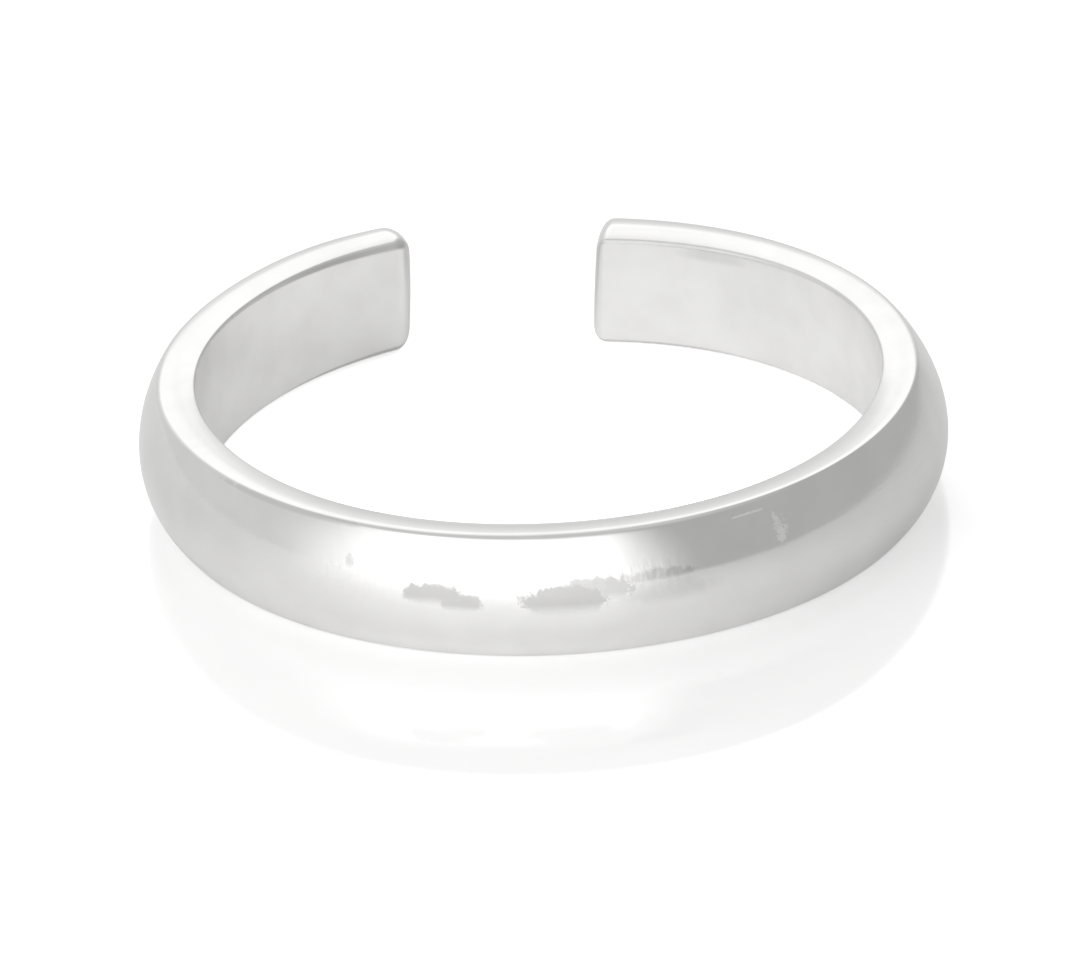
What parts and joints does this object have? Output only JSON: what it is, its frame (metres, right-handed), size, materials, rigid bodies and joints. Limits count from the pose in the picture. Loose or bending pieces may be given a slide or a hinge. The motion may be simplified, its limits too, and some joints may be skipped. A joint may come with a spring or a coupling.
{
  "type": "toe ring",
  "caption": "Plain open band of polished half-round silver, worn on a toe; the opening between its ends lets it be squeezed or spread to fit.",
  "frame": {"origin": "on the axis of the toe hole, at half the band's height", "axes": "+Z along the toe hole's axis, +Y towards the opening between the band's ends, +X towards the right end's side"},
  "size_m": [0.0184, 0.0184, 0.003],
  "materials": {
    "silver": "hand-polished sterling silver"
  },
  "bodies": {
    "root": {"band": "silver"}
  },
  "joints": []
}
